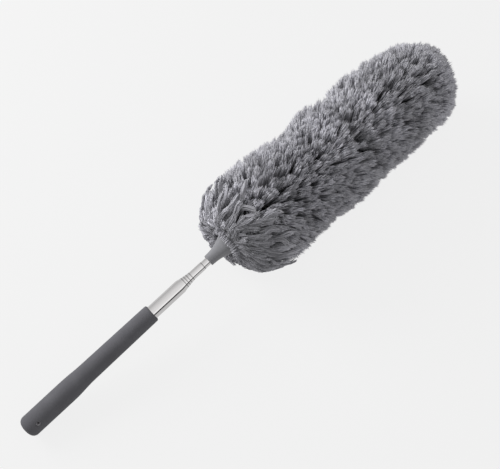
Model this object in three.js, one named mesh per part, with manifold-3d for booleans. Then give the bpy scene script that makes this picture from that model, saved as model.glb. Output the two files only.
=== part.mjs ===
// Extendable duster lying on a table: rubber grip, six-stage steel pole and a bendable pile head.
// Millimetres, +Z up. The head lies along +X and the pole slopes down from it to the butt of the grip.
import * as THREE from "three";
import { mergeVertices } from "three/addons/utils/BufferGeometryUtils.js";
import Module from "manifold-3d";

const wasm = await Module();
wasm.setup();

const { clamp, degToRad, lerp, smoothstep } = THREE.MathUtils;
const touchGap = 0.3;

// Grip, measured along the pole from its butt
const gripLength = 208;
const gripButtRadius = 14.3;
const gripButtRound = 7;
const gripSwellRadius = 14.4;
const gripSwellAt = 68;
const gripWaistRadius = 12.9;
const gripWaistAt = 100;
const gripMouthRadius = 12.1;
const gripMouthRound = 2.6;
const gripEndWall = 23;
const gripBoreFit = 0.25;
const hangHoleAt = 18.2;
const hangHoleRadius = 2;
const hangHoleRim = 3.7;
const hangHoleSink = 3.2;
const hangHoleTurn = degToRad(40);

// Pole stages, largest first: mouths along the pole, and how far each is drawn out of the one outside it
const stageRadius = [9.1, 7.25, 6.75, 6.25, 5.75, 5.25];
const stageWall = [0.4, 0.3, 0.3, 0.3, 0.3, 0.3];
const stageMouth = [264, 267.5, 271.1, 275.6, 295.6, 315.6];
const stageDrawn = [0, 0, 0, 0, 17, 8];
const mouthLength = [9, 3, 3, 3, 3, 0];
const mouthFit = 0.06;
const lipRound = 0.8;
const springLength = 10;
const springFit = 0.08;
const rearLip = 1;
const rollDepth = 0.3;
const rollRamp = 0.4;
const rollSeat = 0.5;
const plugFlange = 1.9;
const plugStem = 9.5;
const plugFit = 0.25;

// Head collar with its sockets for the pole and the core
const collarAt = 305.6;
const collarLength = 36;
const collarLipRadius = 7;
const collarLipRound = 0.7;
const collarRimRadius = 17.2;
const collarRimRound = 1.4;
const collarFit = 0.25;
const coreSocket = 9.3;
const studRadius = 3.2;
const studLength = 11;
const studFlange = 2;
const studStem = 14;

// Head, measured along its core from the neck
const neckAt = 346;
const headRadius = 72;
const headBack = -25.4;
const headLength = 434;
const bendAt = [0, 125, 250];
const bendGap = 3;
const wireRadius = 2.3;
const coreRadius = 6;
const coreBore = 2.6;
const coreEnd = 335;
const capLength = 4;
const capStem = 4;
const backingRadius = 11;
const backingBore = 6.6;
const backingEnd = 340;
const restFlat = 4;

// Pile strands: four-sided, thin at the root and widest near the point, in spiral lobes and broad rings
const strandCount = 330;
const strandFirst = -16;
const strandRootFirst = 8;
const strandRootAt = 9.6;
const strandRootShare = 0.17;
const strandRootMargin = 2;
const strandBelly = 0.8;
const strandFill = 0.42;
const strandSwirl = degToRad(9);
const goldenTurn = Math.PI * (3 - Math.sqrt(5));
const lobeDepth = 1.6;
const lobePitch = 74;
const lobeFrom = 113;
const lobeTurn = degToRad(26.5);
const ringDepth = 2.2;
const ringPitch = 118;
const ringFrom = 68;

const gripSides = 36;
const tubeSides = 24;
const collarSides = 30;
const coreSides = 16;
const wireSides = 10;
const backingSides = 12;
const holeSides = 16;
const strandSides = 4;

const rubber = new THREE.MeshStandardMaterial({ color: 0x606165, roughness: 0.8, metalness: 0 });
const steel = new THREE.MeshStandardMaterial({ color: 0xc8c6c6, roughness: 0.25, metalness: 1 });
const bronze = new THREE.MeshStandardMaterial({ color: 0xb08d57, roughness: 0.4, metalness: 1 });
const greyPlastic = new THREE.MeshStandardMaterial({ color: 0x88898d, roughness: 0.55, metalness: 0 });
const palePlastic = new THREE.MeshStandardMaterial({ color: 0xd9d9d6, roughness: 0.6, metalness: 0 });
const softSteel = new THREE.MeshStandardMaterial({ color: 0x8f9092, roughness: 0.45, metalness: 1 });
const microfibre = new THREE.MeshStandardMaterial({ color: 0x7c7d84, roughness: 0.95, metalness: 0 });

const headBackCentre = headBack + headRadius;
const headFrontCentre = headBack + headLength - headRadius;
const headHeight = headRadius - restFlat;

// Each closed stage sits on the rolled neck of the stage outside it, and the first of them on the plug
const rollLength = springLength + 2 * springFit;
const plugBack = gripEndWall + touchGap;
const stageRear = [plugBack + plugFlange + touchGap, plugBack + plugFlange + plugStem + touchGap];
for (let i = 2; i < stageRadius.length; i += 1) {
  stageRear.push(stageRear[i - 1] + rearLip + rollLength + rollRamp + rollSeat + stageDrawn[i]);
}

// Turns a profile of [distance along the axis, radius] about +X, with the solid on the left of its path
function revolve(profile, sides) {
  const points = profile.map(([along, radius]) => new THREE.Vector2(radius, along));
  const geometry = new THREE.LatheGeometry(points, sides);
  geometry.rotateZ(-Math.PI / 2);
  return geometry;
}

// Points of a round corner between two angles in degrees, where 0 points along the axis
function corner(along, radius, size, from, to, steps) {
  const points = [];
  for (let i = 0; i <= steps; i += 1) {
    const angle = degToRad(lerp(from, to, i / steps));
    points.push([along + size * Math.cos(angle), radius + size * Math.sin(angle)]);
  }
  return points;
}

// Closed solid of a geometry, without the empty triangles where a profile meets its axis
function toSolid(geometry) {
  const bare = geometry.clone();
  bare.deleteAttribute("normal");
  bare.deleteAttribute("uv");
  const welded = mergeVertices(bare, 1e-4);
  const corners = welded.index.array;
  const kept = [];
  for (let i = 0; i < corners.length; i += 3) {
    const triangle = corners.slice(i, i + 3);
    if (new Set(triangle).size === 3) {
      kept.push(...triangle);
    }
  }
  const vertProperties = new Float32Array(welded.attributes.position.array);
  const triVerts = new Uint32Array(kept);
  return new wasm.Manifold(new wasm.Mesh({ numProp: 3, vertProperties, triVerts }));
}

function toGeometry(solid) {
  const { vertProperties, triVerts } = solid.getMesh();
  const geometry = new THREE.BufferGeometry();
  geometry.setAttribute("position", new THREE.BufferAttribute(vertProperties, 3));
  geometry.setIndex(new THREE.BufferAttribute(triVerts, 1));
  geometry.computeVertexNormals();
  return geometry;
}

function addPiece(parent, name, geometry, material) {
  const mesh = new THREE.Mesh(geometry, material);
  mesh.name = name;
  parent.add(mesh);
}

// Lays a tool that stands on +Y across the grip at the hang hole, turned from upright toward -Y
function acrossGrip(geometry) {
  geometry.rotateX(Math.PI / 2 + hangHoleTurn);
  geometry.translate(hangHoleAt, 0, 0);
  return toSolid(geometry);
}

// Grip: round butt with a flat centre, swell for the palm, waist, rounded mouth, blind bore, hang hole
function gripGeometry() {
  const flat = gripButtRadius - gripButtRound;
  const bore = stageRadius[0] + gripBoreFit;
  const palm = [0, 0.25, 0.5, 0.75, 1].map((share) => [
    lerp(gripSwellAt, gripWaistAt, share),
    lerp(gripSwellRadius, gripWaistRadius, smoothstep(share, 0, 1)),
  ]);
  const profile = [
    [0, 0],
    ...corner(gripButtRound, flat, gripButtRound, 180, 90, 6),
    ...palm,
    ...corner(gripLength - gripMouthRound, gripMouthRadius - gripMouthRound, gripMouthRound, 90, 10, 4),
    [gripLength, bore],
    [gripEndWall, bore],
    [gripEndWall, 0],
  ];
  const hole = new THREE.CylinderGeometry(hangHoleRadius, hangHoleRadius, 4 * gripButtRadius, holeSides);
  let solid = toSolid(revolve(profile, gripSides)).subtract(acrossGrip(hole));
  for (const flip of [0, Math.PI]) {
    const rim = new THREE.CylinderGeometry(2 * hangHoleRim, 0, 2 * hangHoleSink, holeSides);
    rim.translate(0, gripButtRadius, 0);
    rim.rotateX(flip);
    solid = solid.subtract(acrossGrip(rim));
  }
  return toGeometry(solid);
}

// Plug that closes the rear of the first stage inside the grip and stops the stages within it
function plugGeometry() {
  const stem = stageRadius[0] - stageWall[0] - plugFit;
  const profile = [
    [plugBack, 0],
    [plugBack, stageRadius[0]],
    [plugBack + plugFlange, stageRadius[0]],
    [plugBack + plugFlange, stem],
    [plugBack + plugFlange + plugStem, stem],
    [plugBack + plugFlange + plugStem, 0],
  ];
  return revolve(profile, tubeSides);
}

// Steel stage: mouth drawn in to guide the next stage and, inside another, a rolled neck for its spring
function stageGeometry(i) {
  const radius = stageRadius[i];
  const wall = stageWall[i];
  const rear = stageRear[i];
  const front = stageMouth[i];
  const outer = [[rear, radius]];
  if (i > 0) {
    const roll = rear + rearLip;
    outer.push([roll - rollRamp, radius]);
    outer.push([roll, radius - rollDepth]);
    outer.push([roll + rollLength, radius - rollDepth]);
    outer.push([roll + rollLength + rollRamp, radius]);
  }
  const inner = outer.map(([along, r]) => [along, r - wall]).reverse();
  if (mouthLength[i] > 0) {
    const start = front - mouthLength[i];
    const lip = stageRadius[i + 1] + mouthFit;
    outer.push([start, radius]);
    if (i === 0) {
      outer.push([lerp(start, front, 0.5), lerp(radius, lip + wall, 0.4)]);
    }
    outer.push([front - lipRound, lip + wall]);
    outer.push([front, lip + wall / 2]);
    inner.unshift([front, lip], [start, radius - wall]);
  } else {
    outer.push([front, radius]);
    inner.unshift([front, radius - wall]);
  }
  return revolve([...outer, ...inner, outer[0]], tubeSides);
}

// Split spring sleeve round a stage's rolled neck, bearing on the bore of the stage outside it
function springGeometry(i) {
  const inside = stageRadius[i] - rollDepth + springFit;
  const outside = stageRadius[i - 1] - stageWall[i - 1] - springFit;
  const ring = [];
  for (let k = 1; k < tubeSides; k += 1) {
    const angle = (2 * Math.PI * k) / tubeSides;
    ring.push(new THREE.Vector2(Math.cos(angle), Math.sin(angle)));
  }
  const outer = ring.map((point) => point.clone().multiplyScalar(outside));
  const inner = ring.map((point) => point.clone().multiplyScalar(inside)).reverse();
  const shape = new THREE.Shape([...outer, ...inner]);
  const geometry = new THREE.ExtrudeGeometry(shape, { depth: springLength, bevelEnabled: false });
  geometry.rotateY(Math.PI / 2);
  geometry.translate(stageRear[i] + rearLip + springFit, 0, 0);
  return geometry;
}

const last = stageRadius.length - 1;
const studBack = stageMouth[last] + touchGap;
const studFront = studBack + studFlange + studLength;

// Stud fixed in the end of the last stage, which the collar screws onto
function studGeometry() {
  const stem = stageRadius[last] - stageWall[last] - plugFit;
  const profile = [
    [stageMouth[last] - studStem, 0],
    [stageMouth[last] - studStem, stem],
    [studBack, stem],
    [studBack, stageRadius[last]],
    [studBack + studFlange, stageRadius[last]],
    [studBack + studFlange, studRadius],
    [studFront, studRadius],
    [studFront, 0],
  ];
  return revolve(profile, tubeSides);
}

// Trumpet collar: skirt over the last stage, bore for the stud, flare, and a socket for the core
function collarGeometry() {
  const front = collarAt + collarLength;
  const flare = new THREE.CubicBezierCurve(
    new THREE.Vector2(collarAt + collarLipRound, collarLipRadius),
    new THREE.Vector2(collarAt + 0.5 * collarLength, collarLipRadius),
    new THREE.Vector2(collarAt + 0.62 * collarLength, 0.55 * collarRimRadius),
    new THREE.Vector2(front - collarRimRound, collarRimRadius),
  );
  const skirt = stageRadius[last] + collarFit;
  const skirtEnd = studBack + studFlange + touchGap;
  const profile = [
    [studFront + touchGap, 0],
    [studFront + touchGap, studRadius + collarFit],
    [skirtEnd, studRadius + collarFit],
    [skirtEnd, skirt],
    [collarAt, skirt],
    [collarAt, collarLipRadius - collarLipRound],
    ...flare.getPoints(8).map((point) => [point.x, point.y]),
    [front, collarRimRadius - collarRimRound],
    [front, coreRadius + collarFit],
    [front - coreSocket, coreRadius + collarFit],
    [front - coreSocket, 0],
  ];
  return revolve(profile, collarSides);
}

// Soft wire of the core between two places, with round ends that meet at a bend
function wireGeometry(from, to) {
  const back = corner(from + wireRadius, 0, wireRadius, 180, 90, 3);
  const front = corner(to - wireRadius, 0, wireRadius, 90, 0, 3);
  return revolve([...back, ...front], wireSides);
}

// Plastic tube over the wire
function coreGeometry(from, to) {
  const start = [from, coreBore];
  return revolve([start, [from, coreRadius], [to, coreRadius], [to, coreBore], start], coreSides);
}

// Domed cap in the far end of the core
function capGeometry() {
  const back = coreEnd + touchGap;
  const profile = [
    [coreEnd - capStem, 0],
    [coreEnd - capStem, wireRadius],
    [back, wireRadius],
    ...corner(back, coreRadius - capLength, capLength, 90, 0, 4),
    [back + capLength, 0],
  ];
  return revolve(profile, coreSides);
}

// Fabric sleeve that carries the strands of one stretch of the head; the last one is closed and round
function backingGeometry(k) {
  const from = bendAt[k] + bendGap;
  const start = [from, backingBore];
  if (k < bendAt.length - 1) {
    const to = bendAt[k + 1] - bendGap;
    const profile = [start, [from, backingRadius], [to, backingRadius], [to, backingBore], start];
    return revolve(profile, backingSides);
  }
  const profile = [
    [backingEnd, 0],
    [backingEnd, backingBore],
    start,
    [from, backingRadius],
    ...corner(headFrontCentre, 0, backingRadius, 90, 0, 4),
  ];
  return revolve(profile, backingSides);
}

const strandProfile = [
  new THREE.Vector2(0, 0),
  new THREE.Vector2(strandRootShare, 0),
  new THREE.Vector2(1, strandBelly),
  new THREE.Vector2(0, 1),
];
const unitStrand = new THREE.LatheGeometry(strandProfile, strandSides);

function radially(along, radius, turn) {
  return new THREE.Vector3(along, radius * Math.cos(turn), radius * Math.sin(turn));
}

// Strand number i, from its root on the backing to its point on the head's round-ended outline.
// Equal steps along the core and golden turns round it share the outline evenly between the strands.
function placeStrand(i) {
  const reachOfHead = headBack + headLength - strandFirst;
  const pitch = reachOfHead / strandCount;
  const along = strandFirst + (i + 0.5) * pitch;
  const turn = i * goldenTurn;
  const centre = clamp(along, headBackCentre, headFrontCentre);
  const lean = along - centre;
  const girth = Math.sqrt(headRadius ** 2 - lean ** 2);
  const lobe = lobeDepth * Math.cos((2 * Math.PI * (along - lobeFrom)) / lobePitch - turn + lobeTurn);
  const ring = ringDepth * Math.cos((2 * Math.PI * (along - ringFrom)) / ringPitch);
  const swell = 1 + (lobe + ring) / headRadius;
  const point = radially(centre + lean * swell, girth * swell, turn);
  const inward = strandRootAt / headRadius;
  const squeeze = (headBackCentre - strandRootFirst) / (headBackCentre - strandFirst);
  const rootTurn = turn - strandSwirl;
  let root = radially(centre + lean * squeeze, strandRootAt, rootTurn);
  let drawnIn = lerp(squeeze, 1, strandBelly);
  if (lean > 0) {
    root = radially(centre + lean * inward, girth * inward, rootTurn);
    drawnIn = lerp(inward, 1, strandBelly);
  } else if (lean === 0) {
    drawnIn = 1;
  }
  const stretch = bendAt.findLastIndex((place) => place <= root.x);
  const rootTo = (bendAt[stretch + 1] ?? Infinity) - bendGap - strandRootMargin;
  root.x = clamp(root.x, bendAt[stretch] + bendGap + strandRootMargin, rootTo);
  const share = 2 * Math.PI * headRadius * pitch * lerp(inward, 1, strandBelly) * drawnIn;
  const width = strandFill * Math.sqrt(share);
  const growth = point.clone().sub(root);
  const upright = new THREE.Vector3(0, 1, 0);
  const facing = new THREE.Quaternion().setFromUnitVectors(upright, growth.clone().normalize());
  const size = new THREE.Vector3(width, growth.length(), width);
  const geometry = unitStrand.clone().applyMatrix4(new THREE.Matrix4().compose(root, facing, size));
  return { geometry, stretch };
}

const strands = Array.from({ length: strandCount }, (_, i) => placeStrand(i));

// Pole and head frames: the pole leans on the butt of its grip, the head lies on its flattened pile
const buttReach = neckAt - gripButtRound;
const buttFlat = gripButtRadius - gripButtRound;
const neckDrop = headHeight - gripButtRound;
const poleTilt = Math.asin(neckDrop / Math.hypot(buttReach, buttFlat)) - Math.atan2(buttFlat, buttReach);

const layout = new THREE.Group();
const head = new THREE.Group();
head.position.z = headHeight;
const pole = new THREE.Group();
pole.rotation.y = -poleTilt;
pole.position.set(-neckAt * Math.cos(poleTilt), 0, headHeight - neckAt * Math.sin(poleTilt));
layout.add(pole, head);

// Strands of one stretch of the head, fused to its backing and cut flat where they lie on the table
function pileGeometry(k) {
  let solid = toSolid(backingGeometry(k));
  for (const strand of strands.filter(({ stretch }) => stretch === k)) {
    solid = solid.add(toSolid(strand.geometry));
  }
  const table = new THREE.BoxGeometry(4 * headLength, 4 * headRadius, headRadius);
  table.translate(0, 0, -headHeight - headRadius / 2);
  return toGeometry(solid.subtract(toSolid(table)));
}

addPiece(pole, "grip_sleeve", gripGeometry(), rubber);
addPiece(pole, "rear_plug", plugGeometry(), palePlastic);
for (let i = 0; i < stageRadius.length; i += 1) {
  addPiece(pole, `tube_${i + 1}`, stageGeometry(i), steel);
  if (i > 0) {
    addPiece(pole, `friction_spring_${i + 1}`, springGeometry(i), bronze);
  }
}
addPiece(pole, "tip_stud", studGeometry(), softSteel);
addPiece(pole, "head_collar", collarGeometry(), greyPlastic);

const socketEnd = collarAt + collarLength - coreSocket + touchGap;
addPiece(pole, "core_tube_neck", coreGeometry(socketEnd, neckAt - bendGap), palePlastic);
addPiece(pole, "core_wire_neck", wireGeometry(socketEnd, neckAt - touchGap), softSteel);
const stretches = ["root", "middle", "tip"];
for (let k = 0; k < stretches.length; k += 1) {
  const atTip = k === stretches.length - 1;
  const tubeTo = atTip ? coreEnd : bendAt[k + 1] - bendGap;
  const wireTo = atTip ? coreEnd - capStem - touchGap : bendAt[k + 1] - touchGap;
  addPiece(head, `core_tube_${stretches[k]}`, coreGeometry(bendAt[k] + bendGap, tubeTo), palePlastic);
  addPiece(head, `core_wire_${stretches[k]}`, wireGeometry(bendAt[k] + touchGap, wireTo), softSteel);
  addPiece(head, `pile_${stretches[k]}`, pileGeometry(k), microfibre);
}
addPiece(head, "core_end_cap", capGeometry(), palePlastic);

// The origin lies on the table under the middle of the object
const box = new THREE.Box3().setFromObject(layout);
const middle = box.getCenter(new THREE.Vector3());
layout.position.set(-middle.x, -middle.y, 0);

const duster = new THREE.Group();
duster.add(layout);

export default duster;
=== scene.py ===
import math
import bpy
import numpy as np
from mathutils import Matrix, Vector


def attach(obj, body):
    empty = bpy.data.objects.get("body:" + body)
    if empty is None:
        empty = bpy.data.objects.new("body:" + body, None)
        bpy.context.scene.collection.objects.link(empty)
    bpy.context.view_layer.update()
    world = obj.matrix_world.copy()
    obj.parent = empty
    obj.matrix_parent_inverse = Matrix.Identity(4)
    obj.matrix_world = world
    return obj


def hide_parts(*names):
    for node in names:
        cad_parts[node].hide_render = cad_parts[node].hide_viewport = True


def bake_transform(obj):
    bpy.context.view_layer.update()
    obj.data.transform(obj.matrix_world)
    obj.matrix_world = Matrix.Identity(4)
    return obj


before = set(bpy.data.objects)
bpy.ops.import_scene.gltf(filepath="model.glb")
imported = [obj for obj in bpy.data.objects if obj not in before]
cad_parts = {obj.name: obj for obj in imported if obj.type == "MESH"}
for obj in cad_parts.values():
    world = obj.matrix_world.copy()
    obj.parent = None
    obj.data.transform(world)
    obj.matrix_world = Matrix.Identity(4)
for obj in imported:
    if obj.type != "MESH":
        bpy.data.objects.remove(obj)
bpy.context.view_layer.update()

mm = 0.001
weldGap = 0.002 * mm

# Where the pole and the head lie: both meet at the neck, the pole slopes down to its butt
layout = {
    "neck": Vector((-0.032208, 0.000502, 0.068)),
    "neckAt": 346.0,          # mm along the pole from its butt
    "tilt": math.radians(9.130282),
}
poleAxis = Vector((math.cos(layout["tilt"]), 0, math.sin(layout["tilt"])))
buttPlace = layout["neck"] - poleAxis * layout["neckAt"] * mm


def deselectAll():
    if bpy.context.mode != "OBJECT":
        bpy.ops.object.mode_set(mode="OBJECT")
    bpy.ops.object.select_all(action="DESELECT")


def pick(piece):
    deselectAll()
    piece.select_set(True)
    bpy.context.view_layer.objects.active = piece


def discard(piece):
    bpy.data.objects.remove(piece, do_unlink=True)


def smoothStep(share):
    return share * share * (3 - 2 * share)


def between(low, high, share):
    return low + (high - low) * share


# A curve from the first of four points to the last, drawn toward the two in the middle
def cubic(points, t):
    a, b, c, d = points
    return a * (1 - t) ** 3 + b * 3 * t * (1 - t) ** 2 + c * 3 * t * t * (1 - t) + d * t ** 3


# Points of a round corner, 0 degrees pointing along the pole
def roundCorner(along, radius, size, start, stop, count):
    angles = np.radians(np.linspace(start, stop, count))
    return [(along + size * math.cos(a), radius + size * math.sin(a)) for a in angles]


# Draws a profile of (along, radius) in mm one vertex after another and spins it round the X axis
def turnedPiece(name, profile, steps):
    deselectAll()
    along, radius = profile[0]
    bpy.ops.mesh.primitive_plane_add(size=mm, location=(along * mm, 0, radius * mm))
    piece = bpy.context.object
    piece.name = piece.data.name = name
    bpy.ops.object.transform_apply()
    bpy.ops.object.mode_set(mode="EDIT")
    bpy.ops.mesh.merge(type="CENTER")
    for nextAlong, nextRadius in profile[1:]:
        step = ((nextAlong - along) * mm, 0, (nextRadius - radius) * mm)
        bpy.ops.mesh.extrude_vertices_move(TRANSFORM_OT_translate={"value": step})
        along, radius = nextAlong, nextRadius
    bpy.ops.mesh.select_all(action="SELECT")
    bpy.ops.mesh.spin(steps=steps, angle=2 * math.pi, center=(0, 0, 0), axis=(1, 0, 0))
    bpy.ops.mesh.select_all(action="SELECT")
    bpy.ops.mesh.remove_doubles(threshold=weldGap)
    bpy.ops.mesh.normals_make_consistent(inside=False)
    bpy.ops.object.mode_set(mode="OBJECT")
    return piece


# Puts a turned piece in its place, with that place in its mesh
def layAt(piece, place, tilt=0.0):
    pick(piece)
    piece.rotation_euler = (0, -tilt, 0)
    piece.location = place
    bpy.ops.object.transform_apply(location=True, rotation=True, scale=True)


def smoothByAngle(piece, degrees):
    pick(piece)
    bpy.ops.object.shade_smooth_by_angle(angle=math.radians(degrees))


def useMaterial(piece, material):
    piece.data.materials.clear()
    piece.data.materials.append(material)


# Shader values as Python expressions
class Shade:
    def __init__(self, tree, socket=None):
        self.tree = tree
        self.socket = socket

    def node(self, kind, settings=None, inputs=None, out=0):
        made = self.tree.nodes.new(kind)
        for key, value in (settings or {}).items():
            if key == "stops":
                setStops(made.color_ramp, value)
            else:
                setattr(made, key, value)
        for key, value in (inputs or {}).items():
            if isinstance(value, Shade):
                self.tree.links.new(value.socket, made.inputs[key])
            else:
                made.inputs[key].default_value = value
        return Shade(self.tree, made.outputs[out])

    def maths(self, operation, first, second):
        return self.node("ShaderNodeMath", {"operation": operation}, {0: first, 1: second})

    def __add__(self, other):
        return self.maths("ADD", self, other)

    def __radd__(self, other):
        return self.maths("ADD", other, self)

    def __sub__(self, other):
        return self.maths("SUBTRACT", self, other)

    def __rsub__(self, other):
        return self.maths("SUBTRACT", other, self)

    def __mul__(self, other):
        return self.maths("MULTIPLY", self, other)

    def __rmul__(self, other):
        return self.maths("MULTIPLY", other, self)

    def __truediv__(self, other):
        return self.maths("DIVIDE", self, other)

    def __pow__(self, other):
        return self.maths("POWER", self, other)


def setStops(ramp, stops):
    while len(ramp.elements) < len(stops):
        ramp.elements.new(0.5)
    for element, (place, colour) in zip(ramp.elements, stops):
        element.position = place
        element.color = (*colour, 1)


# Sockets are named with _ for a space
def newMaterial(name, **fixed):
    material = bpy.data.materials.new(name)
    material.use_nodes = True
    shader = material.node_tree.nodes["Principled BSDF"]
    for socketName, value in fixed.items():
        shader.inputs[socketName.replace("_", " ")].default_value = value
    return Shade(material.node_tree), shader, material


def feed(start, shader, **links):
    for socketName, value in links.items():
        start.tree.links.new(value.socket, shader.inputs[socketName.replace("_", " ")])


# Object coordinates turned so that X runs along the pole, then stretched
def alongPole(start, stretch=(1, 1, 1)):
    place = start.node("ShaderNodeTexCoord", out=3)
    turned = start.node("ShaderNodeMapping", {"vector_type": "TEXTURE"}, {
        "Vector": place, "Location": buttPlace, "Rotation": (0, -layout["tilt"], 0)})
    return start.node("ShaderNodeVectorMath", {"operation": "MULTIPLY"}, {0: turned, 1: stretch})


def axesOf(start, vector):
    parts = start.node("ShaderNodeSeparateXYZ", None, {0: vector})
    return [Shade(start.tree, output) for output in parts.socket.node.outputs]


def noise(start, vector, scale, detail=3.0, roughness=0.55):
    return start.node("ShaderNodeTexNoise", None, {
        "Vector": vector, "Scale": scale, "Detail": detail, "Roughness": roughness})


def weighted(shares, **layers):
    return sum(layers[key] * share for key, share in shares.items())


def colourRamp(start, value, stops):
    return start.node("ShaderNodeValToRGB", {"stops": stops}, {"Fac": value})


def mixColours(start, factor, first, second, blend="MIX"):
    return start.node("ShaderNodeMix", {"data_type": "RGBA", "blend_type": blend}, {
        "Factor": factor, 6: first, 7: second}, out=2)


def grey(level):
    return level, level, level


# Depth of the bump in mm
def bump(start, height, strength, depth):
    return start.node("ShaderNodeBump", None, {
        "Height": height, "Strength": strength, "Distance": depth * mm})


def rangeOf(start, value, low, high):
    return start.node("ShaderNodeMapRange", {"interpolation_type": "SMOOTHSTEP"}, {
        "Value": value, "From Min": low, "From Max": high})


# Hang hole across the grip, in mm from the butt, with a sunk rim and a pale wall of painted light
hole = {
    "at": 18.2, "radius": 2.0, "rim": 3.7, "sink": 3.2, "turn": 40, "wall": (0.55, 0.54, 0.56),
    "wallEdge": (0.9, -0.2), "cut": 60, "sides": 48, "rimSides": 64,
}

# Matte grip rubber: fine moulded grain, faint handling marks, a little paler toward the pole
rubber = {
    "specular": 0.25, "blotch": (38, 4), "grain": (2600, 2, 0.6), "rub": (160, 3),
    "rubStretch": (0.25, 1, 1), "forward": (80, 200),
    "shares": {"blotch": 0.55, "rub": 0.3, "grain": 0.15, "forward": 0.16},
    "colours": ((0.3, (0.098, 0.097, 0.106)), (0.55, (0.115, 0.114, 0.125)), (0.75, (0.138, 0.137, 0.149))),
    "rough": (0.5, 0.3), "bump": (0.35, 0.25),
}


def gripRubberMaterial(r, h):
    start, shader, material = newMaterial("gripRubber", Specular_IOR_Level=r["specular"])
    place = alongPole(start)
    along, sideways, upward = axesOf(start, place)
    blotch = noise(start, place, *r["blotch"])
    grain = noise(start, place, *r["grain"])
    rub = noise(start, alongPole(start, r["rubStretch"]), *r["rub"])
    forward = rangeOf(start, along, *(edge * mm for edge in r["forward"]))
    tone = weighted(r["shares"], blotch=blotch, rub=rub, grain=grain, forward=forward)
    colour = colourRamp(start, tone, r["colours"])
    turn = math.radians(h["turn"])
    aside = sideways * math.cos(turn) + upward * math.sin(turn)
    away = ((along - h["at"] * mm) ** 2 + aside ** 2) ** 0.5
    # painted light: the hang hole's wall is pale where it would lie in shade
    inHole = rangeOf(start, away, *((h["radius"] + edge) * mm for edge in h["wallEdge"]))
    feed(start, shader, Base_Color=mixColours(start, inHole, colour, (*h["wall"], 1)),
         Roughness=r["rough"][0] + tone * r["rough"][1], Normal=bump(start, grain, *r["bump"]))
    return material


# Drawn stainless steel: bright, with hair lines along the pole and a dark line of painted shade at the lip,
# for the shaded gap to the next stage
steel = {
    "hair": (2400, 3, 0.7), "hairStretch": (0.012, 1, 1), "cloud": (70, 3), "cloudStretch": (0.3, 1, 1),
    "shares": {"hair": 0.5, "cloud": 0.5},
    "colours": ((0.3, (0.8, 0.785, 0.785)), (0.7, (0.92, 0.905, 0.905))),
    "line": (-1.1, -0.5), "lipShadeColour": (0.12, 0.115, 0.115), "lipShadeShare": 0.85, "lineRough": 0.3,
    "rough": (0.06, 0.08), "bump": (0.05, 0.1),
}


def poleSteelMaterial(s, stage, lipAt):
    start, shader, material = newMaterial(f"poleSteel{stage}", Metallic=1.0)
    hair = noise(start, alongPole(start, s["hairStretch"]), *s["hair"])
    cloud = noise(start, alongPole(start, s["cloudStretch"]), *s["cloud"])
    tone = weighted(s["shares"], hair=hair, cloud=cloud)
    along = axesOf(start, alongPole(start))[0]
    # painted shade: the lip's last part is darkened for the shaded gap to the next stage
    line = rangeOf(start, along, *((lipAt + edge) * mm for edge in s["line"]))
    colour = colourRamp(start, tone, s["colours"])
    colour = mixColours(start, line * s["lipShadeShare"], colour, (*s["lipShadeColour"], 1))
    feed(start, shader, Base_Color=colour, Normal=bump(start, hair, *s["bump"]),
         Roughness=s["rough"][0] + tone * s["rough"][1] + line * s["lineRough"])
    return material


# Satin moulded plastic of the collar
satin = {
    "specular": 0.55, "blotch": (90, 3), "grain": (3200, 2, 0.6), "shares": {"blotch": 0.7, "grain": 0.3},
    "colours": ((0.3, (0.222, 0.222, 0.236)), (0.7, (0.256, 0.256, 0.272))),
    "rough": (0.3, 0.2), "bump": (0.2, 0.2),
}


def collarPlasticMaterial(s):
    start, shader, material = newMaterial("collarPlastic", Specular_IOR_Level=s["specular"])
    place = alongPole(start)
    grain = noise(start, place, *s["grain"])
    tone = weighted(s["shares"], blotch=noise(start, place, *s["blotch"]), grain=grain)
    feed(start, shader, Base_Color=colourRamp(start, tone, s["colours"]),
         Roughness=s["rough"][0] + tone * s["rough"][1], Normal=bump(start, grain, *s["bump"]))
    return material


# Pile: the strand map holds a strand's tone across, with painted light and shade in it, and its place from
# root to tip upward
fibre = {
    "rough": 0.85, "sheen": 0.25, "sheenRough": 0.5,
    "fromRoot": ((0.0, (0.15, 0.149, 0.162)), (0.5, (0.265, 0.263, 0.285)), (0.8, (0.5, 0.496, 0.54)),
                 (1.0, (0.74, 0.735, 0.79))),
    "tones": ((0.0, grey(0.55)), (0.5, grey(0.9)), (1.0, grey(1.22))),
}


def pileMaterial(f):
    start, shader, material = newMaterial("pileMicrofibre", Roughness=f["rough"], Sheen_Weight=f["sheen"],
                                          Sheen_Roughness=f["sheenRough"])
    strandTone, toTip, _ = axesOf(start, start.node("ShaderNodeUVMap", {"uv_map": "OFBake"}))
    # painted shade: strands darken toward the root, deep in the pile where shade falls
    depth = colourRamp(start, toTip, f["fromRoot"])
    tone = colourRamp(start, strandTone, f["tones"])
    feed(start, shader, Base_Color=mixColours(start, 1.0, depth, tone, "MULTIPLY"))
    return material


# Parts inside the pole and the pile: two colours, metallic, roughness and size of the clouding
innerLook = {
    "innerPlastic": ((0.6, 0.6, 0.58), (0.74, 0.74, 0.72), 0.0, 0.45, 60),
    "softSteel": ((0.24, 0.25, 0.26), (0.34, 0.35, 0.36), 1.0, 0.32, 90),
    "springBronze": ((0.38, 0.23, 0.09), (0.52, 0.34, 0.14), 1.0, 0.28, 90),
    "backingFabric": ((0.05, 0.05, 0.055), (0.09, 0.09, 0.098), 0.0, 0.7, 400),
    "cloudStretch": (0.3, 1, 1), "fineStretch": (0.05, 1, 1), "finer": 25, "details": (4, 2),
    "shares": {"cloud": 0.6, "fine": 0.4}, "edges": (0.3, 0.7), "roughTone": 0.2, "bump": (0.15, 0.1),
}


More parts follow.
